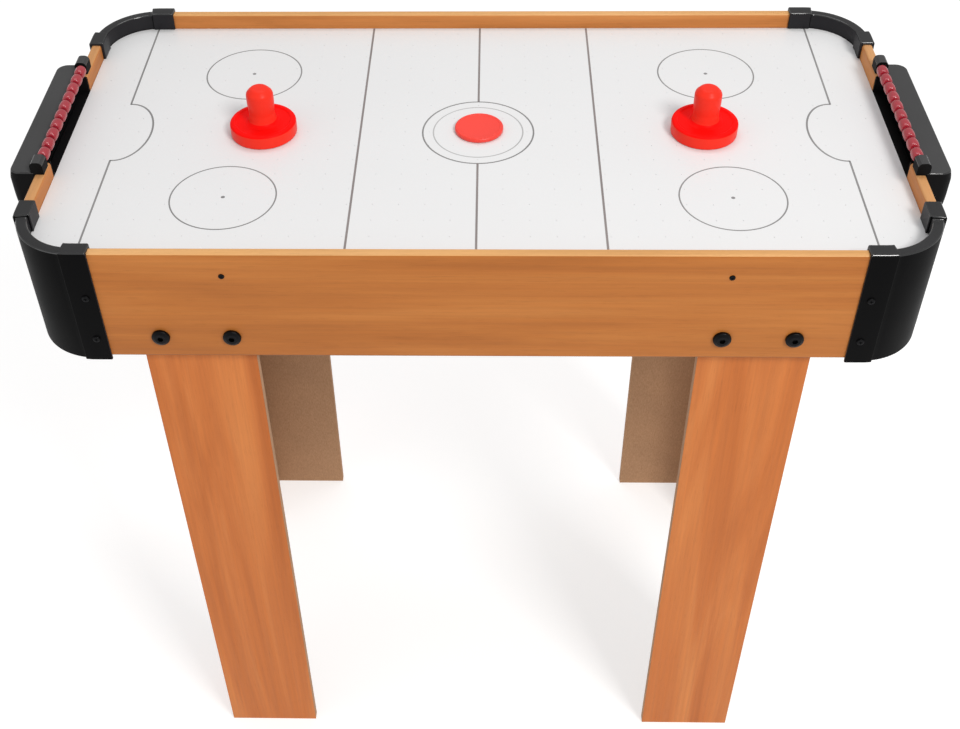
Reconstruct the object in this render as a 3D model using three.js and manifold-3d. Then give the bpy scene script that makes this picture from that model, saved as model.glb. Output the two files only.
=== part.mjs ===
import * as THREE from 'three';
import { mergeVertices } from 'three/addons/utils/BufferGeometryUtils.js';
import Module from 'manifold-3d';

// Small battery-powered air hockey table on four L-section legs.
// Millimetres, +Z up. X runs along the table, goal to goal, and Y across it.
// The origin is on the floor, under the middle of the table.

// ---- Driving dimensions ----

const HEIGHT = 752; // floor to the top edge of the side boards
const DEPTH = 430; // outside of one long board to outside of the other
const LENGTH = 823; // outside of one end board to outside of the other
const BOARD = 10; // thickness of every wooden board
const APRON = 119; // height of the side and end boards
const GAP = 0.3; // clearance left between pieces that touch
const EDGE_RADIUS = 2.5; // rounding of a board's two top edges

const SURFACE_DROP = 16; // board top down to the playing surface
const SHEET = 3; // thickness of the playing surface and of the bottom panel
const PANEL_DROP = 60; // board top down to the bottom panel's upper face

const CORNER_RADIUS = 60; // plan radius of the corner, on the boards' outer faces
const CAP_SKIN = 2; // wall of a corner cap's sleeve
const CAP_WALL = 2.2; // wall of a corner cap's curved part
const CAP_LAP = 15.5; // length of board end that a sleeve takes in
const CAP_SHOULDER = 9; // how far a sleeve runs on past the board's end
const CAP_OVERHANG = 3; // how far a cap reaches below the boards
const CAP_STEP = 0.1; // curved part's top above the sleeves' undersides
const FUSE = 1; // overlap where two parts are joined or a cut runs through

const LEG = { centre: 256.5, width: 104, depth: 80, headroom: 1 };
const BOLT = { centre: 254.25, spread: 32.5, drop: 95, shank: 3, bore: 3.4, length: 27 };
const BOLT_HEAD = { radius: 8.3, edge: 1.4, flat: 5.8, shoulder: 3.4, crown: 4 };

const MOUTH = { half: 77, drop: 20 }; // notch cut in each end board
const GOAL = { half: 97, reach: 26, rise: 2.5, drop: 50, wall: 2.5, corner: 10 };
const BELLY = { foot: 12, toe: 1, pull: 14, height: 28 }; // lower curve of a goal box's outer wall
const BROW = { height: 9, lean: 2, flat: 10 }; // its upper curve
const LINER = { thick: 2.5, sill: 16.4 }; // goal box lining of the notch
const WINDOW = { half: 58, drop: 9, bottom: 31 }; // puck return in a goal box's outer wall
const LUG = { inner: 82, rise: 13, round: 4 }; // ears that hold the score rod
const ROD = { radius: 1.5, rise: 7, half: 92 };
const BEAD = { count: 10, pitch: 16.3, length: 12.6, radius: 5.5, bore: 1.9, rim: 4, barrel: 0.72 };

const MALLET = { radius: 32.5, base: 13, recess: 1.5, knob: 13.2, waist: 12.2, height: 49.5 };
const MALLET_PLACES = { left_mallet: -211, right_mallet: 221 };
const PUCK = { x: 1, y: 3, radius: 23.75, height: 4.5, rim: 3, dish: 0.5, edge: 1 };

const FAN = { flange: 48, radius: 42, wall: 2, depth: 34, throat: 38, slots: 8, hub: 16, rim: 36 };
const SLOT_SPAN = [0.12, 0.88]; // open share of each fan slot's turn
const IMPELLER = { hub: 14, tip: 36, height: 12, bore: 1.8, blades: 7, blade: 1.6, chord: 14, tilt: 0.6 };
const MOTOR = { radius: 12, height: 17, shaft: 1.5, reach: 27 };
const BATTERY = { x: 155, length: 134, width: 74, depth: 38, wall: 2, cover: 2.4 };
const GRIP = { inset: 14, length: 8, width: 36, height: 1.2 }; // finger rib on the battery cover
const SWITCH = { y: -158, length: 32, width: 22, depth: 14, well: [20, 12], sunk: 10 };
const ROCKER = { half: 8.8, width: 11.2, back: 2, waist: 2.2, toe: 4, tilt: Math.PI / 15, rise: 3 };

// ---- Heights and faces that follow from them ----

const SURFACE = HEIGHT - SURFACE_DROP;
const PANEL_TOP = HEIGHT - PANEL_DROP;
const PANEL_UNDER = PANEL_TOP - SHEET;
const END_OUT = LENGTH / 2;
const END_IN = END_OUT - BOARD;
const SIDE_OUT = DEPTH / 2;
const SIDE_IN = SIDE_OUT - BOARD;
const CORNER_X = END_OUT - CORNER_RADIUS;
const CORNER_Y = SIDE_OUT - CORNER_RADIUS;
const ROD_X = END_OUT - BOARD / 2;
const ROD_Z = HEIGHT + ROD.rise;

// ---- Solid modelling helpers ----

const wasm = await Module();
wasm.setup();

/** A closed geometry as a solid for cutting and joining. */
function solid(geometry) {
  const bare = geometry.clone();
  bare.deleteAttribute('normal');
  bare.deleteAttribute('uv');
  const merged = mergeVertices(bare, 1e-4);
  return new wasm.Manifold(new wasm.Mesh({
    numProp: 3,
    vertProperties: new Float32Array(merged.attributes.position.array),
    triVerts: new Uint32Array(merged.index.array),
  }));
}

/** A solid back as a geometry. */
function geometryOf(body) {
  const mesh = body.getMesh();
  const geometry = new THREE.BufferGeometry();
  geometry.setAttribute('position', new THREE.BufferAttribute(mesh.vertProperties, 3));
  geometry.setIndex(new THREE.BufferAttribute(mesh.triVerts, 1));
  geometry.computeVertexNormals();
  return geometry;
}

/** A box between two corners. */
function box([x0, x1], [y0, y1], [z0, z1]) {
  const geometry = new THREE.BoxGeometry(x1 - x0, y1 - y0, z1 - z0);
  return geometry.translate((x0 + x1) / 2, (y0 + y1) / 2, (z0 + z1) / 2);
}

/** A plan outline raised from z0 to z1. */
function raise(shape, [z0, z1], curveSegments = 16) {
  const options = { depth: z1 - z0, bevelEnabled: false, curveSegments };
  return new THREE.ExtrudeGeometry(shape, options).translate(0, 0, z0);
}

/** A (y, z) outline drawn out along X, centred on X = 0. */
function alongX(shape, length, curveSegments = 4) {
  const axes = new THREE.Matrix4().makeBasis(
    new THREE.Vector3(0, 1, 0), new THREE.Vector3(0, 0, 1), new THREE.Vector3(1, 0, 0));
  const geometry = raise(shape, [-length / 2, length / 2], curveSegments);
  return geometry.applyMatrix4(axes);
}

/** An (x, z) outline drawn out along Y, centred on Y = 0. */
function alongY(shape, length, curveSegments = 4) {
  const axes = new THREE.Matrix4().makeBasis(
    new THREE.Vector3(1, 0, 0), new THREE.Vector3(0, 0, 1), new THREE.Vector3(0, -1, 0));
  const geometry = raise(shape, [-length / 2, length / 2], curveSegments);
  return geometry.applyMatrix4(axes);
}

/** A profile of [radius, height] pairs turned about the Z axis. */
function turned(profile, segments) {
  const points = profile.map(([radius, height]) => new THREE.Vector2(radius, height));
  return new THREE.LatheGeometry(points, segments).rotateX(Math.PI / 2);
}

/** A cylinder along Y. */
function pinY(radius, [y0, y1], segments = 20) {
  const geometry = new THREE.CylinderGeometry(radius, radius, y1 - y0, segments);
  return geometry.translate(0, (y0 + y1) / 2, 0);
}

/** A flat ring sector in plan, from one angle to another about the origin. */
function sector(inner, outer, from, to) {
  const shape = new THREE.Shape();
  shape.absarc(0, 0, outer, from, to, false);
  shape.absarc(0, 0, inner, to, from, true);
  return shape;
}

/** A rectangle centred on the origin with its four corners rounded. */
function roundedPlan(halfX, halfY, radius) {
  const shape = new THREE.Shape();
  shape.absarc(halfX - radius, halfY - radius, radius, 0, Math.PI / 2, false);
  shape.absarc(radius - halfX, halfY - radius, radius, Math.PI / 2, Math.PI, false);
  shape.absarc(radius - halfX, radius - halfY, radius, Math.PI, Math.PI * 1.5, false);
  shape.absarc(halfX - radius, radius - halfY, radius, Math.PI * 1.5, Math.PI * 2, false);
  return shape;
}

/** All the given geometries joined into one solid. */
function joined(geometries) {
  return geometries.map(solid).reduce((whole, next) => whole.add(next));
}

/** The first solid with every given geometry cut out of it. */
function cut(body, geometries) {
  return geometries.map(solid).reduce((whole, next) => whole.subtract(next), body);
}

// ---- Materials ----

const FINISHES = {
  wood: { color: 0xc67c43, roughness: 0.5, metalness: 0 },
  legWood: { color: 0xc9743e, roughness: 0.55, metalness: 0 },
  surface: { color: 0xeeeeee, roughness: 0.35, metalness: 0 },
  panel: { color: 0x8a6a4c, roughness: 0.8, metalness: 0 },
  black: { color: 0x1c1c1c, roughness: 0.45, metalness: 0 },
  goal: { color: 0x2b2b2c, roughness: 0.5, metalness: 0 },
  red: { color: 0xf51e14, roughness: 0.3, metalness: 0 },
  puckRed: { color: 0xf8554c, roughness: 0.35, metalness: 0 },
  bolt: { color: 0x18181a, roughness: 0.4, metalness: 0.8 },
  steel: { color: 0x8f9296, roughness: 0.35, metalness: 1 },
};

const table = new THREE.Group();

/** Adds one sub-part to the table, with a material of its own. */
function add(name, geometry, finish, [x, y, z] = [0, 0, 0], turn = 0) {
  const mesh = new THREE.Mesh(geometry, new THREE.MeshStandardMaterial(FINISHES[finish]));
  mesh.name = name;
  mesh.position.set(x, y, z);
  mesh.rotation.z = turn;
  table.add(mesh);
}

// ---- Boards ----

/** A board's cross-section: square at the bottom, its two top edges rounded. */
function boardSection() {
  const shape = new THREE.Shape();
  const side = BOARD / 2;
  shape.moveTo(-side, HEIGHT - APRON);
  shape.lineTo(side, HEIGHT - APRON);
  shape.absarc(side - EDGE_RADIUS, HEIGHT - EDGE_RADIUS, EDGE_RADIUS, 0, Math.PI / 2, false);
  shape.absarc(EDGE_RADIUS - side, HEIGHT - EDGE_RADIUS, EDGE_RADIUS, Math.PI / 2, Math.PI, false);
  return shape;
}

/** A long side board, bored for the four leg bolts. */
function apron() {
  const bores = [-1, 1].flatMap((side) => [-1, 1].map((edge) => {
    const x = side * BOLT.centre + edge * BOLT.spread;
    return pinY(BOLT.bore, [-BOARD, BOARD]).translate(x, 0, HEIGHT - BOLT.drop);
  }));
  return geometryOf(cut(solid(alongX(boardSection(), 2 * (CORNER_X - GAP))), bores));
}

/** An end board, with the goal mouth notched out of its top edge. */
function endRail() {
  const notch = box([-BOARD, BOARD], [-MOUTH.half, MOUTH.half], [HEIGHT - MOUTH.drop, HEIGHT + BOARD]);
  return geometryOf(cut(solid(alongY(boardSection(), 2 * (CORNER_Y - GAP))), [notch]));
}

function addBoards() {
  add('front_apron', apron(), 'wood', [0, BOARD / 2 - SIDE_OUT, 0]);
  add('rear_apron', apron(), 'wood', [0, SIDE_OUT - BOARD / 2, 0]);
  add('left_end_rail', endRail(), 'wood', [BOARD / 2 - END_OUT, 0, 0]);
  add('right_end_rail', endRail(), 'wood', [END_OUT - BOARD / 2, 0, 0]);
}

// ---- Corner caps ----

/** One sleeve of a cap, over the end of the board that runs along x, or along y. */
function capSleeve(along) {
  const place = (run, across, heights) => (
    along === 'x' ? box(run, across, heights) : box(across, run, heights));
  const run = [-CAP_LAP, CAP_SHOULDER];
  const shoulder = [GAP, CAP_SHOULDER];
  const outer = CORNER_RADIUS + GAP;
  const inner = CORNER_RADIUS - BOARD - GAP;
  const top = HEIGHT + GAP + CAP_SKIN;
  const skirt = HEIGHT - APRON - CAP_OVERHANG;
  const lip = SURFACE + GAP;
  return [
    place(run, [outer, outer + CAP_SKIN], [skirt, top]),
    place(run, [inner - CAP_SKIN, outer + CAP_SKIN], [HEIGHT + GAP, top]),
    place(run, [inner - CAP_SKIN, inner], [lip, top]),
    place(shoulder, [CORNER_RADIUS - CAP_WALL, outer + FUSE], [skirt, top]),
    place(shoulder, [inner - FUSE, inner + GAP + CAP_WALL], [lip, top]),
    place([GAP, GAP + CAP_WALL], [inner + 2 * GAP, outer + FUSE], [skirt, top]),
  ];
}

/** A cap about its corner's centre: a curved hollow wall with a sleeve at each end. */
function cornerCap() {
  const quarter = Math.PI / 2;
  const inner = CORNER_RADIUS - BOARD;
  const top = HEIGHT + GAP + CAP_STEP;
  const skirt = HEIGHT - APRON - CAP_OVERHANG;
  const curve = (near, far, heights) => raise(sector(near, far, 0, quarter), heights, 8);
  return geometryOf(joined([
    curve(CORNER_RADIUS - CAP_WALL, CORNER_RADIUS, [skirt, top]),
    curve(inner, CORNER_RADIUS, [HEIGHT - CAP_WALL, top]),
    curve(inner, inner + CAP_WALL, [SURFACE + GAP, top]),
    ...capSleeve('x'),
    ...capSleeve('y'),
  ]));
}

function addCornerCaps() {
  const quarter = Math.PI / 2;
  add('rear_right_cap', cornerCap(), 'black', [CORNER_X, CORNER_Y, 0]);
  add('rear_left_cap', cornerCap(), 'black', [-CORNER_X, CORNER_Y, 0], quarter);
  add('front_left_cap', cornerCap(), 'black', [-CORNER_X, -CORNER_Y, 0], 2 * quarter);
  add('front_right_cap', cornerCap(), 'black', [CORNER_X, -CORNER_Y, 0], 3 * quarter);
}

// ---- Playing surface and bottom panel ----

function addPanels() {
  const plan = roundedPlan(END_IN - GAP, SIDE_IN - GAP, CORNER_RADIUS - BOARD - GAP);
  add('playfield', raise(plan, [SURFACE - SHEET, SURFACE], 10), 'surface');
  const throat = new THREE.Path();
  throat.absarc(0, 0, FAN.throat, 0, 2 * Math.PI, true);
  const vented = plan.clone();
  vented.holes = [throat];
  add('bottom_panel', raise(vented, [PANEL_UNDER, PANEL_TOP], 10), 'panel');
}

// ---- Legs ----

/** The front or back board of a leg on one side of the table, bored for its two bolts. */
function legFace(side) {
  const halfWidth = LEG.width / 2;
  const halfBoard = BOARD / 2;
  const board = box([-halfWidth, halfWidth], [-halfBoard, halfBoard], [0, PANEL_UNDER - LEG.headroom]);
  const middle = side * (BOLT.centre - LEG.centre);
  const bores = [middle - BOLT.spread, middle + BOLT.spread].map((x) => (
    pinY(BOLT.bore, [-BOARD, BOARD]).translate(x, 0, HEIGHT - BOLT.drop)));
  return geometryOf(cut(solid(board), bores));
}

/** The board that runs inward from a leg's outer edge and makes its L. */
function legReturn() {
  const halfBoard = BOARD / 2;
  const halfDepth = LEG.depth / 2;
  return box([-halfBoard, halfBoard], [-halfDepth, halfDepth], [0, PANEL_UNDER - LEG.headroom]);
}

/** A bolt with its head towards -Y and the head's underside at Y = 0. */
function legBolt() {
  const profile = [
    [0, -BOLT.length],
    [BOLT.shank, -BOLT.length],
    [BOLT.shank, 0],
    [BOLT_HEAD.radius, 0],
    [BOLT_HEAD.radius, BOLT_HEAD.edge],
    [BOLT_HEAD.flat, BOLT_HEAD.shoulder],
    [0, BOLT_HEAD.crown],
  ];
  return turned(profile, 12).rotateX(Math.PI / 2);
}

function addLegs() {
  const faceY = SIDE_IN - GAP - BOARD / 2;
  const returnX = LEG.centre + LEG.width / 2 - BOARD / 2;
  const returnY = faceY - BOARD / 2 - GAP - LEG.depth / 2;
  for (const [end, sideX] of [['left', -1], ['right', 1]]) {
    for (const [edge, sideY] of [['front', -1], ['rear', 1]]) {
      const leg = `${edge}_${end}_leg`;
      const turn = sideY < 0 ? 0 : Math.PI;
      add(`${leg}_face`, legFace(sideX), 'legWood', [sideX * LEG.centre, sideY * faceY, 0]);
      add(`${leg}_return`, legReturn(), 'legWood', [sideX * returnX, sideY * returnY, 0]);
      for (const [place, offset] of [['inner', -BOLT.spread], ['outer', BOLT.spread]]) {
        const x = sideX * (BOLT.centre + offset);
        const y = sideY * (SIDE_OUT + GAP);
        add(`${leg}_bolt_${place}`, legBolt(), 'bolt', [x, y, HEIGHT - BOLT.drop], turn);
      }
    }
  }
}

// ---- Goal boxes ----

/** The (x, z) outline of a goal box, or of its hollow when inset by the wall. */
function goalOutline(inset) {
  const near = END_OUT + GAP + inset;
  const far = END_OUT + GOAL.reach - inset;
  const top = HEIGHT + GOAL.rise - inset;
  const bottom = HEIGHT - GOAL.drop + inset;
  const shape = new THREE.Shape();
  shape.moveTo(near, bottom);
  shape.lineTo(far - BELLY.foot, bottom);
  shape.bezierCurveTo(far - BELLY.toe, bottom, far, bottom + BELLY.pull, far, bottom + BELLY.height);
  shape.bezierCurveTo(far, top - BROW.height, far - BROW.lean, top, far - BROW.flat, top);
  shape.lineTo(near, top);
  return shape;
}

/** The plan that rounds a goal box's two outer corners. */
function goalPlan(inset) {
  const near = END_IN;
  const far = END_OUT + GOAL.reach - inset;
  const half = GOAL.half - inset;
  const round = GOAL.corner - inset;
  const shape = new THREE.Shape();
  shape.moveTo(near, -half);
  shape.lineTo(far - round, -half);
  shape.absarc(far - round, round - half, round, -Math.PI / 2, 0, false);
  shape.absarc(far - round, half - round, round, 0, Math.PI / 2, false);
  shape.lineTo(near, half);
  return shape;
}

function goalForm(inset) {
  const swept = solid(alongY(goalOutline(inset), 2 * (GOAL.half + FUSE), 6));
  const span = [HEIGHT - GOAL.drop - FUSE, HEIGHT + GOAL.rise + FUSE];
  return swept.intersect(solid(raise(goalPlan(inset), span, 5)));
}

/** An ear that stands on the end board and carries one end of the score rod. */
function rodLug(side) {
  const near = END_IN + GAP;
  const far = END_OUT + LINER.thick;
  const top = HEIGHT + LUG.rise - LUG.round;
  const shape = new THREE.Shape();
  shape.moveTo(near, HEIGHT + GAP);
  shape.lineTo(far, HEIGHT + GAP);
  shape.absarc(far - LUG.round, top, LUG.round, 0, Math.PI / 2, false);
  shape.absarc(near + LUG.round, top, LUG.round, Math.PI / 2, Math.PI, false);
  const middle = side * (LUG.inner + GOAL.half) / 2;
  return alongY(shape, GOAL.half - LUG.inner, 3).translate(0, middle, 0);
}

/** The right-hand goal box: a hollow catcher, the mouth's lining and the rod's ears. */
function goalBox() {
  const { wall } = GOAL;
  const frame = [END_IN + GAP, END_OUT + LINER.thick];
  const lined = MOUTH.half - GAP;
  const clear = lined - LINER.thick;
  const sill = HEIGHT - LINER.sill;
  const notch = HEIGHT - MOUTH.drop + GAP;
  const shell = goalForm(0).subtract(goalForm(wall));
  const lining = [
    box(frame, [-lined, lined], [notch, sill]),
    box(frame, [-lined, -clear], [notch, HEIGHT]),
    box(frame, [clear, lined], [notch, HEIGHT]),
    rodLug(-1),
    rodLug(1),
  ];
  const inside = END_OUT + GAP + wall + FUSE;
  const outside = END_OUT + GOAL.reach;
  const bore = pinY(ROD.radius + GAP, [-ROD.half - GAP, ROD.half + GAP], 12);
  const openings = [
    box([END_OUT, inside], [-clear, clear], [sill, HEIGHT + GOAL.rise - wall]),
    box([outside - 2 * wall, outside + FUSE], [-WINDOW.half, WINDOW.half],
      [HEIGHT - WINDOW.bottom, HEIGHT - WINDOW.drop]),
    bore.translate(ROD_X, 0, ROD_Z),
  ];
  return geometryOf(cut(shell.add(joined(lining)), openings));
}

function addGoals() {
  add('left_goal_box', goalBox(), 'goal', [0, 0, 0], Math.PI);
  add('right_goal_box', goalBox(), 'goal');
}

// ---- Score beads ----

/** A barrel-shaped bead bored along Y. */
function scoreBead() {
  const half = BEAD.length / 2;
  const shoulder = half * BEAD.barrel;
  const profile = [
    [BEAD.bore, -half],
    [BEAD.rim, -half],
    [BEAD.radius, -shoulder],
    [BEAD.radius, shoulder],
    [BEAD.rim, half],
    [BEAD.bore, half],
    [BEAD.bore, -half],
  ];
  return turned(profile, 10).rotateX(Math.PI / 2);
}

function addScorers() {
  for (const [end, side] of [['left', -1], ['right', 1]]) {
    const rod = pinY(ROD.radius, [-ROD.half, ROD.half], 12);
    add(`${end}_score_rod`, rod, 'steel', [side * ROD_X, 0, ROD_Z]);
    for (let i = 0; i < BEAD.count; i += 1) {
      const y = (i - (BEAD.count - 1) / 2) * BEAD.pitch;
      const number = String(i + 1).padStart(2, '0');
      add(`${end}_bead_${number}`, scoreBead(), 'red', [side * ROD_X, y, ROD_Z]);
    }
  }
}

// ---- Mallets and puck ----

function mallet() {
  const { radius, base, recess, knob, waist, height } = MALLET;
  const profile = [
    [0, recess],
    [radius - 4.5, recess],
    [radius - 4, 0],
    [radius - 0.8, 0],
    [radius, 1],
    [radius, base - 3.5],
    [radius - 1.3, base - 1],
    [radius - 4, base],
    [waist + 4.5, base],
    [waist + 1, base + 2.2],
    [waist, base + 6.5],
    [knob, height - 18],
    [knob, height - 11],
    [knob * 0.88, height - 5],
    [knob * 0.56, height - 1.4],
    [0, height],
  ];
  return turned(profile, 24);
}

function puck() {
  const { radius, height, rim, dish, edge } = PUCK;
  const profile = [
    [0, 0],
    [radius - edge, 0],
    [radius, edge],
    [radius, height - edge],
    [radius - edge, height],
    [radius - rim, height],
    [radius - rim - dish, height - dish],
    [0, height - dish],
  ];
  return turned(profile, 28);
}

function addPlayers() {
  for (const [name, x] of Object.entries(MALLET_PLACES)) {
    add(name, mallet(), 'red', [x, 0, SURFACE + GAP]);
  }
  add('puck', puck(), 'puckRed', [PUCK.x, PUCK.y, SURFACE + GAP]);
}

// ---- Fan under the bottom panel ----

/** A drum hung by its flange, its floor slotted to let the air in. */
function fanHousing() {
  const { flange, radius, wall, depth, slots, hub, rim } = FAN;
  const profile = [
    [0, -depth],
    [radius, -depth],
    [radius, -wall],
    [flange, -wall],
    [flange, 0],
    [radius - wall, 0],
    [radius - wall, wall - depth],
    [0, wall - depth],
  ];
  const turn = 2 * Math.PI / slots;
  const floor = [-depth - FUSE, wall - depth + FUSE];
  const openings = Array.from({ length: slots }, (_, i) => {
    const [from, to] = SLOT_SPAN.map((share) => (i + share) * turn);
    return raise(sector(hub, rim, from, to), floor, 3);
  });
  return geometryOf(cut(solid(turned(profile, 24)), openings));
}

/** A hub with flat tilted blades, bored for the motor's shaft. */
function fanImpeller() {
  const { hub, tip, height, bore, blades, blade, chord, tilt } = IMPELLER;
  const ring = [
    [bore, 0],
    [hub, 0],
    [hub, height],
    [bore, height],
    [bore, 0],
  ];
  const paddles = Array.from({ length: blades }, (_, i) => (
    box([hub - 2, tip], [-chord / 2, chord / 2], [-blade / 2, blade / 2])
      .rotateX(tilt)
      .translate(0, 0, height / 2)
      .rotateZ(i * 2 * Math.PI / blades)));
  return geometryOf(joined([turned(ring, 20), ...paddles]));
}

function fanMotor() {
  const { radius, height, shaft, reach } = MOTOR;
  return turned([[0, 0], [radius, 0], [radius, height], [shaft, height], [shaft, reach], [0, reach]], 20);
}

function addFan() {
  const top = PANEL_UNDER - GAP;
  const floor = top - FAN.depth + FAN.wall;
  const motorTop = floor + GAP + MOTOR.height;
  add('fan_housing', fanHousing(), 'black', [0, 0, top]);
  add('fan_motor', fanMotor(), 'steel', [0, 0, floor + GAP]);
  add('fan_impeller', fanImpeller(), 'black', [0, 0, motorTop + 1]);
}

// ---- Battery box and switch ----

function batteryBox() {
  const { length, width, depth, wall } = BATTERY;
  const outer = [[-length / 2, length / 2], [-width / 2, width / 2]];
  const inner = [[wall - length / 2, length / 2 - wall], [wall - width / 2, width / 2 - wall]];
  return geometryOf(cut(solid(box(...outer, [-depth, 0])), [box(...inner, [-depth - 1, -wall])]));
}

/** The flat cover under the battery box, with a rib to push it open by. */
function batteryCover() {
  const { length, width, cover } = BATTERY;
  const ribEnd = length / 2 - GRIP.inset;
  return geometryOf(joined([
    box([-length / 2, length / 2], [-width / 2, width / 2], [-cover, 0]),
    box([ribEnd - GRIP.length, ribEnd], [-GRIP.width / 2, GRIP.width / 2], [-cover - GRIP.height, -1]),
  ]));
}

function switchHousing() {
  const { length, width, depth, well, sunk } = SWITCH;
  const block = box([-length / 2, length / 2], [-width / 2, width / 2], [-depth, 0]);
  const pocket = box([-well[0] / 2, well[0] / 2], [-well[1] / 2, well[1] / 2], [-depth - 1, sunk - depth]);
  return geometryOf(cut(solid(block), [pocket]));
}

/** The rocker about its pivot, in its off position. */
function switchRocker() {
  const { half, width, back, waist, toe, tilt } = ROCKER;
  const shape = new THREE.Shape();
  shape.moveTo(-half, back);
  shape.lineTo(-half, -toe);
  shape.lineTo(0, -waist);
  shape.lineTo(half, -toe);
  shape.lineTo(half, back);
  return alongY(shape, width).rotateY(-tilt);
}

function addPower() {
  const top = PANEL_UNDER - GAP;
  add('battery_box', batteryBox(), 'black', [BATTERY.x, 0, top]);
  add('battery_cover', batteryCover(), 'black', [BATTERY.x, 0, top - BATTERY.depth - GAP]);
  add('switch_housing', switchHousing(), 'black', [0, SWITCH.y, top]);
  add('switch_rocker', switchRocker(), 'red', [0, SWITCH.y, top - SWITCH.depth + ROCKER.rise]);
}

addBoards();
addCornerCaps();
addPanels();
addLegs();
addGoals();
addScorers();
addPlayers();
addFan();
addPower();

export default table;
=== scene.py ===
import math

import bmesh
import bpy
from mathutils import Matrix, Vector


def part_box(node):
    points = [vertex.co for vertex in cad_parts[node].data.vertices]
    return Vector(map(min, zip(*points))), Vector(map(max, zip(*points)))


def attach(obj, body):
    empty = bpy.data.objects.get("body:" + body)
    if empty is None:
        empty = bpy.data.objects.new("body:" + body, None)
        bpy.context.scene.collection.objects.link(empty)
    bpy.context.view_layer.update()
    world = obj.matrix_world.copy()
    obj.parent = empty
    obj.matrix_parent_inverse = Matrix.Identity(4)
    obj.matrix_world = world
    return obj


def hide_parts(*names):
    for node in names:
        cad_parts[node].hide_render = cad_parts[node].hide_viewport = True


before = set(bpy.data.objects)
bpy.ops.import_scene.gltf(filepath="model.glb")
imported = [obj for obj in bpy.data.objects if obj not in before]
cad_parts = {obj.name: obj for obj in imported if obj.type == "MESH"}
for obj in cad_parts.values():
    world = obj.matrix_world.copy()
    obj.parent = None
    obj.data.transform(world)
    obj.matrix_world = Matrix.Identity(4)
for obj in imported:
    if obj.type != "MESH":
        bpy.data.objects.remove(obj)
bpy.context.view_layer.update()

# A small air hockey table on four L-section legs.
# Shapes are worked out in millimetres in the table's own frame, and each piece is scaled to
# metres as it is made.

MM = 0.001
TAU = 2 * math.pi
SIDES = (("left", -1), ("right", 1))
EDGES = (("front", -1), ("rear", 1))

# ---- outlines


def span(node):
    """A CAD node's lowest and highest corners, in millimetres."""
    low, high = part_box(node)
    return low / MM, high / MM


def middle(node):
    """The middle of a CAD node's box, in millimetres."""
    low, high = span(node)
    return tuple((a + b) / 2 for a, b in zip(low, high))


def rounded(corners, steps=5, closed=True):
    """An outline through (x, y, radius) corners, each radius drawn as an arc."""
    points = []
    count = len(corners)
    for i, (x, y, radius) in enumerate(corners):
        here = Vector((x, y))
        end = not closed and i in (0, count - 1)
        if radius <= 0 or end:
            points.append(here)
            continue
        before = (Vector(corners[i - 1][:2]) - here).normalized()
        after = (Vector(corners[(i + 1) % count][:2]) - here).normalized()
        half = before.angle(after) / 2
        centre = here + (before + after).normalized() * (radius / math.sin(half))
        start = here + before * (radius / math.tan(half)) - centre
        stop = here + after * (radius / math.tan(half)) - centre
        turn = math.pi - 2 * half
        for k in range(steps + 1):
            a = math.sin(turn * (1 - k / steps)) / math.sin(turn)
            b = math.sin(turn * k / steps) / math.sin(turn)
            points.append(centre + start * a + stop * b)
    return [tuple(p) for p in points]


def rectangle(x0, x1, y0, y1, radius=0.0, steps=5):
    corners = [(x0, y0, radius), (x1, y0, radius), (x1, y1, radius), (x0, y1, radius)]
    return rounded(corners, steps)


def circle(radius, segments=48, centre=(0, 0), start=0.0, stop=TAU):
    closed = abs(stop - start - TAU) < 1e-9
    count = segments if closed else segments + 1
    angles = [start + (stop - start) * i / segments for i in range(count)]
    return [(centre[0] + radius * math.cos(a), centre[1] + radius * math.sin(a)) for a in angles]


def bezier(points, steps):
    a, b, c, d = (Vector(p) for p in points)
    out = []
    for k in range(steps + 1):
        t = k / steps
        here = a * (1 - t) ** 3 + b * 3 * t * (1 - t) ** 2 + c * 3 * t * t * (1 - t) + d * t ** 3
        out.append(tuple(here))
    return out


# ---- solids

PLACE = {
    "x": lambda u, v, w: (w, u, v),
    "y": lambda u, v, w: (u, w, v),
    "z": lambda u, v, w: (u, v, w),
}


def skin(rings, looped=False):
    """A closed solid through rings of points. A ring of one point is a pole."""
    bm = bmesh.new()
    rows = [[bm.verts.new(p) for p in ring] for ring in rings]
    pairs = list(zip(rows, rows[1:]))
    if looped:
        pairs.append((rows[-1], rows[0]))
    for a, b in pairs:
        count = max(len(a), len(b))
        for i in range(count):
            j = (i + 1) % count
            corners = [a[i % len(a)], a[j % len(a)], b[j % len(b)], b[i % len(b)]]
            corners = list(dict.fromkeys(corners))  # a pole gives the same corner twice
            if len(corners) > 2:
                bm.faces.new(corners)
    if not looped:
        for row in (rows[0], rows[-1]):
            if len(row) > 2:
                bm.faces.new(row)
    bmesh.ops.recalc_face_normals(bm, faces=bm.faces)
    return bm


def drawn(outline, low, high, axis="z"):
    """An outline drawn out along an axis."""
    place = PLACE[axis]
    return skin([[place(u, v, w) for u, v in outline] for w in (low, high)])


def block(x, y, z):
    return drawn(rectangle(x[0], x[1], y[0], y[1]), z[0], z[1])


def turned(profile, axis="z", at=(0, 0, 0), segments=64, looped=False):
    """A profile of (radius, height) points turned about an axis through a point."""
    place = PLACE[axis]
    rings = []
    for radius, height in profile:
        ring = circle(radius, segments) if radius > 1e-6 else [(0, 0)]
        rings.append([Vector(place(u, v, height)) + Vector(at) for u, v in ring])
    return skin(rings, looped)


def moved(bm, offset=(0, 0, 0), turn=0.0, axis="Z"):
    """The solid turned about an axis through the origin, then shifted."""
    matrix = Matrix.Translation(Vector(offset)) @ Matrix.Rotation(turn, 4, axis)
    bmesh.ops.transform(bm, matrix=matrix, verts=bm.verts)
    return bm


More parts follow.
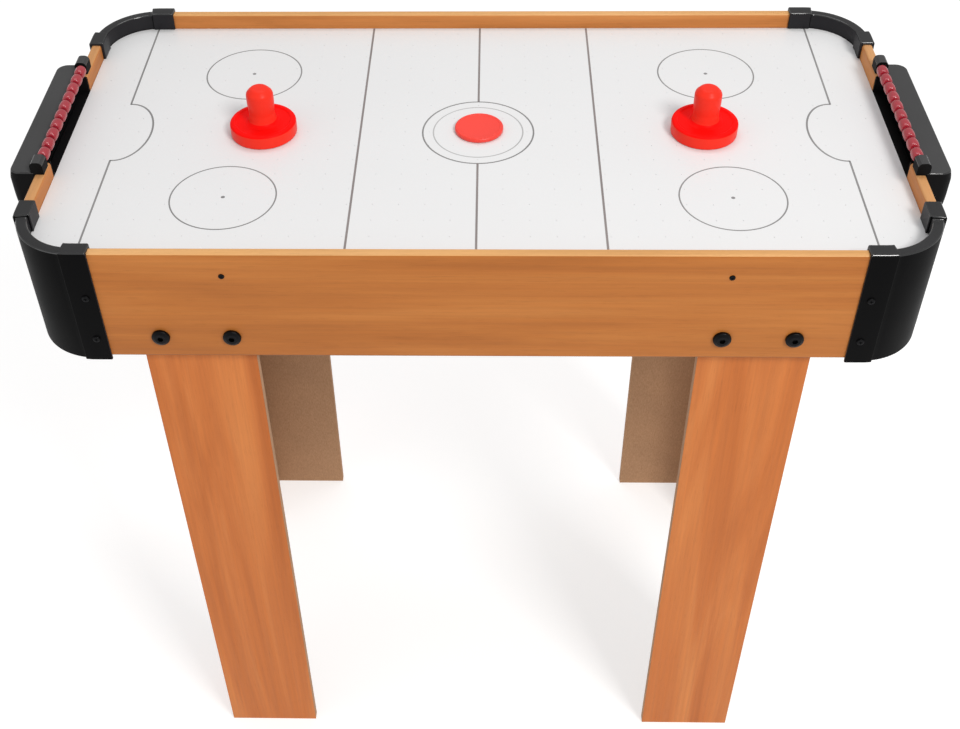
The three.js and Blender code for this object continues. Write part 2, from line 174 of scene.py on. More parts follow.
def mirrored(bm, x=1, y=1):
    """The solid with its X or Y turned round where the factor is -1."""
    bmesh.ops.scale(bm, vec=(x, y, 1), verts=bm.verts)
    if x * y < 0:
        bmesh.ops.reverse_faces(bm, faces=bm.faces)
    return bm


def together(solids):
    """Separate solids as one mesh."""
    whole = bmesh.new()
    for bm in solids:
        part = bpy.data.meshes.new("part")
        bm.to_mesh(part)
        bm.free()
        whole.from_mesh(part)
        bpy.data.meshes.remove(part)
    return whole


def combined(base, others, operation="DIFFERENCE"):
    """The base with the other solids cut out of it, or joined to it."""
    def working(bm):
        mesh = bpy.data.meshes.new("working")
        bm.to_mesh(mesh)
        bm.free()
        obj = bpy.data.objects.new("working", mesh)
        bpy.context.scene.collection.objects.link(obj)
        return obj

    body = working(base)
    tools = [working(bm) for bm in others]
    for tool in tools:
        cut = body.modifiers.new("cut", "BOOLEAN")
        cut.operation = operation
        cut.solver = "EXACT"
        cut.object = tool
    bpy.context.view_layer.update()
    result = bmesh.new()
    result.from_object(body, bpy.context.evaluated_depsgraph_get())
    for obj in [body, *tools]:
        mesh = obj.data
        bpy.data.objects.remove(obj)
        bpy.data.meshes.remove(mesh)
    return result


def piece(name, bm, material, body="table", replaces=(), bevel=0.0, crease=40,
          finishes_and_painted_light=()):
    """Makes a shown piece. The last argument lists (material, test of a face) for the faces that
    differ: real finishes such as bare board, and lit or shaded copies of the main material that
    paint light and shade.
    """
    bm.normal_update()
    for face in bm.faces:
        tests = [test(face) for _, test in finishes_and_painted_light]
        face.material_index = tests.index(True) + 1 if True in tests else 0
    bmesh.ops.scale(bm, vec=(MM, MM, MM), verts=bm.verts)
    mesh = bpy.data.meshes.new(name)
    bm.to_mesh(mesh)
    bm.free()
    mesh.materials.append(material)
    for face_material, _ in finishes_and_painted_light:
        mesh.materials.append(face_material)
    mesh.shade_smooth()
    obj = bpy.data.objects.new(name, mesh)
    bpy.context.scene.collection.objects.link(obj)
    if bevel:
        edge = obj.modifiers.new("edge", "BEVEL")
        edge.width = bevel * MM
        edge.segments = 2
        edge.limit_method = "ANGLE"
        edge.angle_limit = math.radians(crease)
        shading = obj.modifiers.new("shading", "WEIGHTED_NORMAL")
        shading.keep_sharp = True
    else:
        mesh.set_sharp_from_angle(angle=math.radians(crease))
    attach(obj, body)
    if replaces:
        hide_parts(*replaces)
    return obj


# ---- materials


def linear(red, green, blue):
    """A colour given as 0 to 255 screen values, in linear light."""
    values = [v / 255 / 12.92 if v < 10.3 else ((v / 255 + 0.055) / 1.055) ** 2.4
              for v in (red, green, blue)]
    return (*values, 1.0)


class Recipe:
    """A material whose nodes are added one call at a time."""

    def __init__(self, name, **settings):
        self.material = bpy.data.materials.new(name)
        self.material.use_nodes = True
        self.tree = self.material.node_tree
        self.shader = self.tree.nodes["Principled BSDF"]
        for socket, value in settings.items():
            self.shader.inputs[socket.replace("_", " ")].default_value = value
        self.place = self.add("TexCoord").outputs["Object"]

    def add(self, kind, feeds=None, **settings):
        node = self.tree.nodes.new("ShaderNode" + kind)
        for key, value in settings.items():
            setattr(node, key, value)
        for key, value in (feeds or {}).items():
            if isinstance(value, bpy.types.NodeSocket):
                self.tree.links.new(value, node.inputs[key])
            else:
                node.inputs[key].default_value = value
        return node

    def noise(self, scale, detail=3.0, roughness=0.5, distortion=0.0):
        """Noise whose scale may differ along each axis, in waves per metre."""
        stretch = self.add("Mapping", {"Vector": self.place, "Scale": scale})
        feeds = {"Vector": stretch.outputs[0], "Scale": 1.0, "Detail": detail,
                 "Roughness": roughness, "Distortion": distortion}
        return self.add("TexNoise", feeds).outputs[0]

    def ramp(self, value, stops):
        """Colours laid along a value, each at its own position."""
        node = self.add("ValToRGB", {"Fac": value})
        band = node.color_ramp
        while len(band.elements) < len(stops):
            band.elements.new(1.0)
        for element, (position, colour) in zip(band.elements, stops):
            element.position = position
            element.color = colour if len(colour) == 4 else (*colour, 1.0)
        return node.outputs[0]

    def range(self, value, low, high, start=0.3, stop=0.7):
        """The value stretched from start..stop to low..high, and held at both ends."""
        return self.add("MapRange", {"Value": value, "From Min": start, "From Max": stop,
                                     "To Min": low, "To Max": high}).outputs[0]

    def shaded(self, colour, factor):
        """The colour multiplied by a number."""
        node = self.add("VectorMath", {0: colour, "Scale": factor}, operation="SCALE")
        return node.outputs[0]

    def feed(self, **sockets):
        for socket, value in sockets.items():
            self.tree.links.new(value, self.shader.inputs[socket.replace("_", " ")])

    def bump(self, height, distance, strength=1.0):
        node = self.add("Bump", {"Height": height, "Distance": distance, "Strength": strength})
        self.feed(Normal=node.outputs[0])


def stretched(along, lengthwise, across):
    """Noise scales that run lengthwise along one axis."""
    return tuple(lengthwise if axis == along else across for axis in "xyz")


def wood(name, along, dark, mid, light):
    """Printed wood-grain foil, satin, with its grain along one axis."""
    look = Recipe(name, Roughness=0.45, Specular_IOR_Level=0.22)
    figure = look.noise(stretched(along, 1.3, 17), 4, 0.55, 1.4)
    colour = look.ramp(figure, [(0.30, dark), (0.50, mid), (0.72, light)])
    streak = look.noise(stretched(along, 6, 330), 4, 0.6, 0.3)
    colour = look.shaded(colour, look.range(streak, 0.93, 1.06))
    pores = look.noise(stretched(along, 60, 1300), 2, 0.5)
    colour = look.shaded(colour, look.range(pores, 0.90, 1.0, 0.30, 0.42))
    look.feed(Base_Color=colour, Roughness=look.range(streak, 0.40, 0.52))
    look.bump(pores, 0.00005, 0.5)
    return look.material


def board(name, dark, light, scale):
    """Bare pressed board, matt and finely mottled."""
    look = Recipe(name, Roughness=0.8, Specular_IOR_Level=0.25)
    cloud = look.noise((scale * 0.2,) * 3, 4, 0.6)
    fibre = look.noise((scale * 12, scale * 12, scale * 4), 5, 0.6, 0.5)
    colour = look.ramp(fibre, [(0.28, dark), (0.70, light)])
    colour = look.shaded(colour, look.range(cloud, 0.94, 1.06))
    look.feed(Base_Color=colour, Roughness=look.range(fibre, 0.72, 0.9))
    look.bump(fibre, 0.00012, 0.6)
    return look.material


def plastic(name, colour, roughness, specular=0.5, texture=0.00002, pitch=900, coat=0.0,
            spread=0.12):
    """Moulded plastic: a fine mould texture, and slow changes of gloss and tone.

    texture is the mould texture's depth in metres and pitch its waves per metre. spread is how
    far the tone strays from the colour, as a share of it.
    """
    look = Recipe(name, Roughness=roughness, Specular_IOR_Level=specular, Coat_Weight=coat,
                  Coat_Roughness=0.12)
    cloud = look.noise((9, 9, 9), 3, 0.5)
    grit = look.noise((pitch,) * 3, 3, 0.6)
    tone = look.ramp(cloud, [(0.3, [v * (1 - spread) for v in colour[:3]]),
                             (0.7, [min(1, v * (1 + spread)) for v in colour[:3]])])
    look.feed(Base_Color=tone, Roughness=look.range(cloud, roughness * 0.88, roughness * 1.14))
    look.bump(grit, texture, 0.6)
    return look.material


def metal(name, colour, roughness, brushed):
    """Plated or blackened steel with fine drawing marks along one axis."""
    look = Recipe(name, Metallic=1.0, Roughness=roughness)
    marks = look.noise(stretched(brushed, 40, 1600), 3, 0.6)
    cloud = look.noise((60, 60, 60), 3, 0.6)
    tone = look.ramp(cloud, [(0.3, [v * 0.82 for v in colour[:3]]), (0.7, colour)])
    look.feed(Base_Color=tone, Roughness=look.range(marks, roughness * 0.75, roughness * 1.35))
    look.bump(marks, 0.00001, 0.4)
    return look.material


def laminate(name, colour):
    """The white playing surface: a smooth laminate with faint wear where the pieces slide."""
    look = Recipe(name, Roughness=0.3, Specular_IOR_Level=0.35)
    cloud = look.noise((5, 5, 5), 3, 0.5)
    orange_peel = look.noise((420, 420, 420), 2, 0.5)
    wear = look.noise((30, 160, 30), 5, 0.7, 1.0)
    tone = look.ramp(cloud, [(0.25, [v * 0.975 for v in colour[:3]]), (0.75, colour)])
    tone = look.shaded(tone, look.range(wear, 0.995, 1.0, 0.2, 0.5))
    look.feed(Base_Color=tone, Roughness=look.range(wear, 0.29, 0.33))
    look.bump(orange_peel, 0.00001, 0.15)
    return look.material


APRON_TONES = (linear(161, 93, 37), linear(177, 106, 45), linear(189, 119, 56))
# Lighter foil for the walls that face the playing surface: painted light, the light the white
# surface throws back onto them.
LIT_INNER_TONES = (linear(181, 112, 54), linear(200, 127, 66), linear(213, 143, 80))
# Lighter foil for the rounded top edges of the long and short boards: painted light, where the
# lamps fall on the tops.
LIT_EDGE_TONES = (linear(205, 150, 92), linear(219, 164, 104), linear(229, 176, 118))
LIT_SHORT_EDGE_TONES = (linear(190, 134, 84), linear(204, 148, 95), linear(214, 160, 107))
# Darker foil for the downward bottom edges of the boards: painted shade.
SHADED_UNDER_TONES = (linear(116, 72, 44), linear(130, 82, 52), linear(144, 94, 62))
LEG_TONES = (linear(178, 96, 38), linear(194, 110, 50), linear(208, 128, 66))
apron_wood = wood("apron_foil_long", "x", *APRON_TONES)
rail_wood = wood("apron_foil_short", "y", *APRON_TONES)
apron_lit_edge = wood("apron_top_long_painted_light", "x", *LIT_EDGE_TONES)
rail_lit_edge = wood("apron_top_short_painted_light", "y", *LIT_SHORT_EDGE_TONES)
apron_lit_inner = wood("apron_inner_long_painted_light", "x", *LIT_INNER_TONES)
rail_lit_inner = wood("apron_inner_short_painted_light", "y", *LIT_INNER_TONES)
apron_shaded_under = wood("apron_under_long_painted_shade", "x", *SHADED_UNDER_TONES)
rail_shaded_under = wood("apron_under_short_painted_shade", "y", *SHADED_UNDER_TONES)
leg_wood = wood("leg_foil", "z", *LEG_TONES)
raw_board = board("bare_board", linear(160, 120, 88), linear(185, 146, 112), 60)
panel_board = board("hardboard", linear(96, 66, 42), linear(140, 102, 70), 75)
felt = board("felt_grey", linear(92, 92, 96), linear(132, 132, 138), 120)

# How deep a mould texture is, in metres.
POLISHED, FINE, GRAINED = 0.00001, 0.00004, 0.00005

# The caps' one black comes in copies by which way a face looks: the darkest copy on the fronts is
# painted shade, and the lighter top and inward walls are painted light. The rounded edge is a
# glossy copy that catches the lamps' highlight, and its slightly lighter colour is painted light
# too.
cap_plastic = plastic("cap_black", (0.0030, 0.0030, 0.0032, 1), 0.5, 0.035, FINE, 1100)
cap_lit_top = plastic("cap_black_top_painted_light", (0.032, 0.032, 0.033, 1), 0.42, 0.14, FINE, 1100)
cap_lit_inner = plastic("cap_black_inner_painted_light", (0.017, 0.0165, 0.019, 1), 0.4, 0.16, FINE, 1100)
cap_lit_edge = plastic("cap_black_edge_gloss_painted_light", (0.010, 0.010, 0.011, 1), 0.11, 0.95, POLISHED, 1100)
goal_plastic = plastic("goal_charcoal", (0.005, 0.005, 0.0053, 1), 0.5, 0.05, GRAINED, 1200)
# Lighter copies of the charcoal for the top and the rounded top edge: painted light. The edge copy
# is also glossier, so it catches the lamps' highlight.
goal_lit_top = plastic("goal_charcoal_top_painted_light", (0.052, 0.052, 0.053, 1), 0.46, 0.2, GRAINED, 1200)
goal_lit_edge = plastic("goal_charcoal_edge_gloss_painted_light", (0.030, 0.030, 0.031, 1), 0.16, 0.5, POLISHED, 1200)
fan_plastic = plastic("housing_black", (0.013, 0.013, 0.014, 1), 0.5, 0.35, GRAINED, 1000)
mallet_plastic = plastic("mallet_red", (0.93, 0.034, 0.017, 1), 0.34, 0.12, POLISHED, 600,
                         spread=0.04)
# A deeper red copy for the upward faces of the base: painted light, with less of the lamps' pale
# reflection than the rim shows.
mallet_painted_top = plastic("mallet_red_top_painted_light", (0.95, 0.004, 0.003, 1), 0.4, 0.05, POLISHED, 600,
                     spread=0.03)
bead_plastic = plastic("bead_red", (0.36, 0.014, 0.028, 1), 0.22, 0.9, POLISHED, 600,
                       coat=0.15, spread=0.06)
puck_plastic = plastic("puck_red", (0.93, 0.062, 0.044, 1), 0.4, 0.3, POLISHED, 700,
                       spread=0.04)
rocker_plastic = plastic("rocker_red", (0.62, 0.012, 0.010, 1), 0.3, 0.5, POLISHED, 700)
mark_paint = plastic("mark_white", (0.7, 0.7, 0.7, 1), 0.4)
cell_wrap = plastic("cell_wrap", (0.035, 0.09, 0.055, 1), 0.3, 0.5, POLISHED, 700)
surface_laminate = laminate("play_laminate", (0.80, 0.80, 0.806, 1))
line_ink = plastic("printed_ink", (0.255, 0.25, 0.25, 1), 0.5, 0.3, POLISHED, 900)
zone_ink = plastic("printed_ink_brown", (0.255, 0.225, 0.22, 1), 0.5, 0.3, POLISHED, 900)
faint_ink = plastic("printed_ink_faint", (0.5, 0.5, 0.5, 1), 0.5, 0.3)
bolt_steel = metal("black_oxide", (0.014, 0.014, 0.015, 1), 0.42, "y")
rod_steel = metal("bright_rod", (0.62, 0.63, 0.65, 1), 0.2, "y")
motor_steel = metal("motor_can", (0.50, 0.51, 0.53, 1), 0.32, "z")
zinc_steel = metal("zinc_plate", (0.44, 0.45, 0.47, 1), 0.36, "y")

# ---- camera

LENS, SENSOR, SHIFT = 48.915, 36.0, 0.0189
PITCH, YAW, ROLL = (math.radians(a) for a in (43.241, -1.711, -0.931))
CAMERA_AT = (0.0129, -1.0921, 1.4489)  # in metres
reach = math.cos(PITCH)
ahead = Vector((math.sin(YAW) * reach, math.cos(YAW) * reach, -math.sin(PITCH)))
level = ahead.cross(Vector((0, 0, 1))).normalized()
upright = level.cross(ahead)
across = level * math.cos(ROLL) + upright * math.sin(ROLL)
upward = upright * math.cos(ROLL) - level * math.sin(ROLL)

eye = bpy.data.cameras.new("camera")
eye.lens = LENS
eye.sensor_width = SENSOR
eye.shift_x = SHIFT
camera = bpy.data.objects.new("camera", eye)
bpy.context.scene.collection.objects.link(camera)
basis = Matrix((across, upward, -ahead)).transposed().to_4x4()
camera.matrix_world = Matrix.Translation(CAMERA_AT) @ basis
bpy.context.scene.camera = camera

# ---- main measures

TOP = span("front_apron")[1].z  # the side boards' top edges
SIDE_OUT = -span("front_apron")[0].y
END_OUT = span("right_end_rail")[1].x
SURFACE = span("playfield")[1].z
PANEL_UNDER = span("bottom_panel")[0].z
BOLT_Z = middle("front_left_leg_bolt_inner")[2]
BOARD, GAP = 10.0, 0.3
END_IN, SIDE_IN = END_OUT - BOARD, SIDE_OUT - BOARD
CORNER_RADIUS = 60.0
CORNER_X, CORNER_Y = END_OUT - CORNER_RADIUS, SIDE_OUT - CORNER_RADIUS
SHEET_CORNER = CORNER_RADIUS - BOARD - GAP  # of the playing surface and the bottom panel

# ---- tests for faces that take another material: real finishes, and lit or shaded copies that paint light and shade

LEVEL = 0.93  # how far up a face's normal points when the face counts as level


def upward_face(face):
    return face.normal.z > LEVEL


def rounded_edge(face):
    """The slope between a level top and a wall."""
    return 0.3 < face.normal.z <= LEVEL


def top_and_edge(face):
    return face.normal.z > 0.5


def lower_edge(face):
    return face.normal.z < -0.25


def inward_face(face):
    """A wall that looks towards the middle of the table."""
    centre = face.calc_center_median()
    inward = face.normal.x * centre.x + face.normal.y * centre.y < 0
    return abs(face.normal.z) < 0.5 and inward


def highest_face(face):
    """An upward face above the side boards' tops."""
    return upward_face(face) and face.calc_center_median().z > TOP


def base_top(face):
    """The top of a mallet's wide base, under the knob."""
    return face.normal.z > 0.5 and face.calc_center_median().z < SURFACE + 20


def away_from(x, y):
    """A test for faces that don't look along a level direction."""
    return lambda face: face.normal.x * x + face.normal.y * y < 0.9


# ---- side boards

EDGE_ROUND = 2.5
SCREW_X, SCREW_Z = 222.0, TOP - 24
BOLT_HOLE, SCREW_HOLE, SCREW_HOLE_DEPTH = 3.4, 1.8, 6.0
MOUTH_NOTCH_HALF, MOUTH_NOTCH_DEPTH = 77.0, 20.0
PAST = 5.0  # how far a cutter runs past a board's faces


def bore(x, radius, y0, y1, z):
    """A round cutter along Y."""
    return turned([(0, y0), (radius, y0), (radius, y1), (0, y1)], "y", (x, 0, z), 24)


def bolt_bores(leg, low, high):
    """Cutters for a leg's two bolts, through a board that reaches from low to high."""
    return [bore(middle(f"{leg}_bolt_{place}")[0], BOLT_HOLE, low.y - PAST, high.y + PAST, BOLT_Z)
            for place in ("inner", "outer")]


for edge, sy in EDGES:
    low, high = span(f"{edge}_apron")
    section = rectangle(low.y, high.y, low.z, high.z, EDGE_ROUND)
    holes = []
    for end, sx in SIDES:
        holes += bolt_bores(f"{edge}_{end}_leg", low, high)
        screw_span = (sy * (SIDE_OUT - SCREW_HOLE_DEPTH), sy * (SIDE_OUT + PAST))
        holes.append(bore(sx * SCREW_X, SCREW_HOLE, *screw_span, SCREW_Z))
    solid = combined(drawn(section, low.x, high.x, "x"), [together(holes)])
    # Top edges and inward walls take lighter copies of the foil, painted light; the bottom edges a
    # darker copy, painted shade.
    finishes_and_painted_light = [(apron_lit_edge, top_and_edge), (apron_shaded_under, lower_edge), (apron_lit_inner, inward_face)]
    piece(f"{edge}_apron_board", solid, apron_wood, replaces=[f"{edge}_apron"],
          finishes_and_painted_light=finishes_and_painted_light)

for end, sx in SIDES:
    low, high = span(f"{end}_end_rail")
    section = rectangle(low.x, high.x, low.z, high.z, EDGE_ROUND)
    notch = block((low.x - PAST, high.x + PAST), (-MOUTH_NOTCH_HALF, MOUTH_NOTCH_HALF),
                  (TOP - MOUTH_NOTCH_DEPTH, TOP + 10))
    solid = combined(drawn(section, low.y, high.y, "y"), [notch])
    # Top edges and inward walls take lighter copies of the foil, painted light; the bottom edges a
    # darker copy, painted shade.
    finishes_and_painted_light = [(rail_lit_edge, top_and_edge), (rail_shaded_under, lower_edge), (rail_lit_inner, inward_face)]
    piece(f"{end}_end_rail_board", solid, rail_wood, replaces=[f"{end}_end_rail"],
          finishes_and_painted_light=finishes_and_painted_light)

# ---- legs

LEG_BEVEL = 0.7

for edge, sy in EDGES:
    for end, sx in SIDES:
        leg = f"{edge}_{end}_leg"
        low, high = span(f"{leg}_face")
        holes = bolt_bores(leg, low, high)
        plank = block((low.x, high.x), (low.y, high.y), (low.z, high.z))
        piece(f"{leg}_face_board", combined(plank, [together(holes)]), leg_wood,
              replaces=[f"{leg}_face"], bevel=LEG_BEVEL, finishes_and_painted_light=[(raw_board, away_from(0, sy))])
        low, high = span(f"{leg}_return")
        plank = block((low.x, high.x), (low.y, high.y), (low.z, high.z))
        piece(f"{leg}_return_board", plank, leg_wood,
              replaces=[f"{leg}_return"], bevel=LEG_BEVEL, finishes_and_painted_light=[(raw_board, away_from(sx, 0))])

# ---- corner caps

CAP_WALL = 2.0
CAP_TOP = TOP + 0.4
CAP_LOW = span("front_left_cap")[0].z
CAP_LIP = SURFACE + 0.3
ARC = CORNER_RADIUS * math.pi / 2
ARC_STEPS = 18
LAP = CORNER_X - span("front_right_cap")[0].x
SLEEVE_END = LAP + 9.0
PROUD = (2.3, 2.4, 2.8)
# Distance in from a cap's open end, then how far the outer, top and inner faces stand proud.
SLEEVE = [
    (0.0, 1.5, 1.6, 2.2),
    (0.25, 1.95, 2.05, 2.5),
    (0.8, *PROUD),
    (1.2, *PROUD),
    (LAP - 4, *PROUD),
    (LAP, *PROUD),
    (LAP + 3, *PROUD),
    (LAP + 6, *PROUD),
    (SLEEVE_END - 1.2, *PROUD),
    (SLEEVE_END - 0.8, *PROUD),
    (SLEEVE_END - 0.25, 2.05, 2.1, 2.5),
    (SLEEVE_END, 1.4, 1.4, 1.9),
    (SLEEVE_END + 0.2, 0.3, 0.4, 0.5),
    (SLEEVE_END + 0.9, 0.0, 0.0, 0.0),
]


def cap_section(proud, rise, inward):
    """An upside-down U over the board, as (distance from the corner's centre, height)."""
    outer = CORNER_RADIUS + proud
    inner = CORNER_RADIUS - BOARD - inward
    top = CAP_TOP + rise
    return rounded([
        (outer, CAP_LOW, 0.6),
        (outer, top, 1.9),
        (inner, top, 1.4),
        (inner, CAP_LIP, 0.5),
        (inner + CAP_WALL, CAP_LIP, 0.3),
        (inner + CAP_WALL, top - CAP_WALL, 0.4),
        (outer - CAP_WALL, top - CAP_WALL, 0.4),
        (outer - CAP_WALL, CAP_LOW, 0.3),
    ])


def cap_ring(along, section):
    """A cross-section stood at a distance along the cap, from one open end to the other."""
    if along < LAP:
        base, angle = Vector((0, along - LAP)), 0.0
    elif along < LAP + ARC:
        base, angle = Vector((0, 0)), (along - LAP) / CORNER_RADIUS
    else:
        base, angle = Vector((LAP + ARC - along, 0)), math.pi / 2
    return [(base.x + u * math.cos(angle), base.y + u * math.sin(angle), z) for u, z in section]


def cap_solid():
    total = 2 * LAP + ARC
    near = [(d, cap_section(*proud)) for d, *proud in SLEEVE]
    start, section = near[-1]
    bend = [(start + (total - 2 * start) * k / ARC_STEPS, section) for k in range(1, ARC_STEPS)]
    far = [(total - d, section) for d, section in reversed(near)]
    return skin([cap_ring(d, section) for d, section in near + bend + far])


for edge, sy in EDGES:
    for end, sx in SIDES:
        solid = moved(mirrored(cap_solid(), sx, sy), (sx * CORNER_X, sy * CORNER_Y, 0))
        # Top, rounded edge and inward walls take the lighter copies of the black: painted light.
        finishes_and_painted_light = [(cap_lit_top, upward_face), (cap_lit_edge, rounded_edge), (cap_lit_inner, inward_face)]
        piece(f"{edge}_{end}_cap_moulding", solid, cap_plastic,
              replaces=[f"{edge}_{end}_cap"], crease=50, finishes_and_painted_light=finishes_and_painted_light)

# ---- screws, bolts and nuts

# Pan-head screws: head radius, head height, shank radius and shank length.
CAP_SCREW = (3.4, 1.5, 1.4, 10)
APRON_SCREW = (2.7, 0.9, 1.3, 5)
BATTEN_SCREW = (3.2, 1.6, 1.3, 8)
FLANGE_SCREW = (2.2, 1.3, 1.0, 6)

BOLT_HEAD, BOLT_CROWN, BOLT_SHANK, BOLT_LENGTH = 8.3, 4.0, 3.0, 27.0
THREADS, THREAD_DEPTH = 12, 0.42
SOCKET_RADIUS, SOCKET_DEPTH = 2.9, 2.6
WASHER_HOLE, WASHER_RADIUS, WASHER_THICK = 3.3, 7.0, 1.2
NUT_HOLE, NUT_RADIUS, NUT_HEIGHT = 3.05, 5.6, 4.6
SEAT = 0.05  # how far a fastener stands off what it bears on


def cross_recess(size, depth, top):
    arm = size * 0.22
    heights = (top - depth, top + 2)
    return combined(block((-size, size), (-arm, arm), heights),
                    [block((-arm, arm), (-size, size), heights)], "UNION")


def pan_head(radius, height, shank, length):
    """A cross-recessed pan-head screw along Z with the underside of its head at zero."""
    profile = rounded([
        (0, -length, 0), (shank, -length + shank, 0), (shank, 0, 0), (radius, 0, 0),
        (radius, height, height * 0.7), (0, height, 0)], closed=False)
    return combined(turned(profile, segments=32),
                    [cross_recess(radius * 0.5, height * 0.7, height)])


def bolt_solid():
    """A flat-headed bolt along Z with a hexagon socket, threaded at its far end."""
    foot = -BOLT_LENGTH
    threads = []
    for k in range(THREADS):
        threads += [(BOLT_SHANK - THREAD_DEPTH, foot + 1 + k), (BOLT_SHANK, foot + 1.5 + k)]
    crown = rounded([(BOLT_HEAD, 0, 0), (BOLT_HEAD, BOLT_CROWN * 0.62, 1.3),
                     (BOLT_HEAD * 0.62, BOLT_CROWN, 2.0), (0, BOLT_CROWN, 0)], 6, closed=False)
    profile = [(0, foot), (BOLT_SHANK - 0.7, foot), *threads, (BOLT_SHANK, 0), *crown]
    socket = drawn(circle(SOCKET_RADIUS, 6), BOLT_CROWN - SOCKET_DEPTH, BOLT_CROWN + 2)
    return combined(turned(profile, segments=48), [socket])


def washer_solid():
    profile = rectangle(WASHER_HOLE, WASHER_RADIUS, 0, WASHER_THICK)
    return turned(profile, segments=40, looped=True)


def nut_solid():
    hexagon = drawn(circle(NUT_RADIUS, 6), 0, NUT_HEIGHT)
    return combined(hexagon, [drawn(circle(NUT_HOLE, 24), -1, 6)])


def facing(bm, direction, at):
    """Turns a part made along +Z so that it looks along a direction, and puts it in place."""
    turn = Vector((0, 0, 1)).rotation_difference(Vector(direction)).to_matrix().to_4x4()
    bmesh.ops.transform(bm, matrix=Matrix.Translation(at) @ turn, verts=bm.verts)
    return bm


for edge, sy in EDGES:
    for end, sx in SIDES:
        inner_face = abs(span(f"{edge}_{end}_leg_face")[1 if sy < 0 else 0].y)
        nuts, washers = [], []
        for place in ("inner", "outer"):
            node = f"{edge}_{end}_leg_bolt_{place}"
            x = middle(node)[0]
            head_at = (x, sy * (SIDE_OUT + GAP), BOLT_Z)
            piece(f"{node}_body", facing(bolt_solid(), (0, sy, 0), head_at), bolt_steel,
                  replaces=[node])
            washer_at = (x, sy * (inner_face - SEAT), BOLT_Z)
            washers.append(facing(washer_solid(), (0, -sy, 0), washer_at))
            nut_at = (x, sy * (inner_face - SEAT - WASHER_THICK - SEAT), BOLT_Z)
            nuts.append(facing(nut_solid(), (0, -sy, 0), nut_at))
        piece(f"{edge}_{end}_leg_washers", together(washers), zinc_steel, bevel=0.2)
        piece(f"{edge}_{end}_leg_nuts", together(nuts), zinc_steel, bevel=0.25)

CAP_SCREW_DROPS = (48, 96)  # down from the side boards' tops
CAP_SCREW_IN = 6.0  # past where the corner's curve begins
CAP_FACE = PROUD[0] + SEAT
for edge, sy in EDGES:
    for end, sx in SIDES:
        heads = []
        for drop in CAP_SCREW_DROPS:
            z = TOP - drop
            long_side = (sx * (CORNER_X - CAP_SCREW_IN), sy * (SIDE_OUT + CAP_FACE), z)
            short_side = (sx * (END_OUT + CAP_FACE), sy * (CORNER_Y - CAP_SCREW_IN), z)
            heads.append(facing(pan_head(*CAP_SCREW), (0, sy, 0), long_side))
            heads.append(facing(pan_head(*CAP_SCREW), (sx, 0, 0), short_side))
        piece(f"{edge}_{end}_cap_screws", together(heads), bolt_steel)
    heads = []
    for _, sx in SIDES:
        head_at = (sx * SCREW_X, sy * (SIDE_OUT + SEAT), SCREW_Z)
        heads.append(facing(pan_head(*APRON_SCREW), (0, sy, 0), head_at))
    piece(f"{edge}_apron_screws", together(heads), bolt_steel)

# ---- playing surface

AIR_PITCH, AIR_RADIUS = 24.0, 0.45
AIR_COLUMNS, AIR_ROWS = 16, 8  # on each side of the middle
AIR_MARGIN = 20.0  # in from the table's outside

low, high = span("playfield")
drills = []
for i in range(-AIR_COLUMNS, AIR_COLUMNS + 1):
    for j in range(-AIR_ROWS, AIR_ROWS + 1):
        x, y = i * AIR_PITCH, j * AIR_PITCH
        past_x, past_y = max(0, abs(x) - CORNER_X), max(0, abs(y) - CORNER_Y)
        if math.hypot(past_x, past_y) <= CORNER_RADIUS - AIR_MARGIN:
            drills.append(drawn(circle(AIR_RADIUS, 10, (x, y)), low.z - 1, high.z + 1))
plan = rectangle(low.x, high.x, low.y, high.y, SHEET_CORNER, 14)
sheet = combined(drawn(plan, low.z, high.z), [together(drills)])
piece("playfield_sheet", sheet, surface_laminate, replaces=["playfield"],
      crease=30)

LINE_WIDTH, FACEOFF_WIDTH, CENTRE_WIDTH, RING_WIDTH = 1.9, 1.425, 1.615, 1.33
BROWN_WIDTH = LINE_WIDTH + 0.2
INK_RISE, INK_SINK = 0.06, 0.02
GOAL_LINE, ZONE_LINE = 353.7, 116.1
CREASE_X, CREASE_Y = 323.0, 50.0  # how far the curve round a goal reaches in and across
FACEOFF_X, FACEOFF_Y, FACEOFF_RADIUS, SPOT_RADIUS = 235.6, 109.2, 49.3, 1.9
CENTRE_RADIUS, RING_RADIUS = 54.5, 44.0
LINE_END = -low.y - 0.5
INK_SPAN = (SURFACE - INK_SINK, SURFACE + INK_RISE)


def ribbon(path, width, closed=False):
    """A thin flat strip of ink along a path of plan points."""
    bottom, top = INK_SPAN
    count = len(path)
    rings = []
    for i, point in enumerate(path):
        here = Vector(point)
        back = Vector(path[i - 1]) if closed or i else here
        forth = Vector(path[(i + 1) % count]) if closed or i < count - 1 else here
        along = (forth - back).normalized()
        side = Vector((-along.y, along.x)) * width / 2
        a, b = here + side, here - side
        rings.append([(a.x, a.y, bottom), (a.x, a.y, top), (b.x, b.y, top), (b.x, b.y, bottom)])
    return skin(rings, closed)


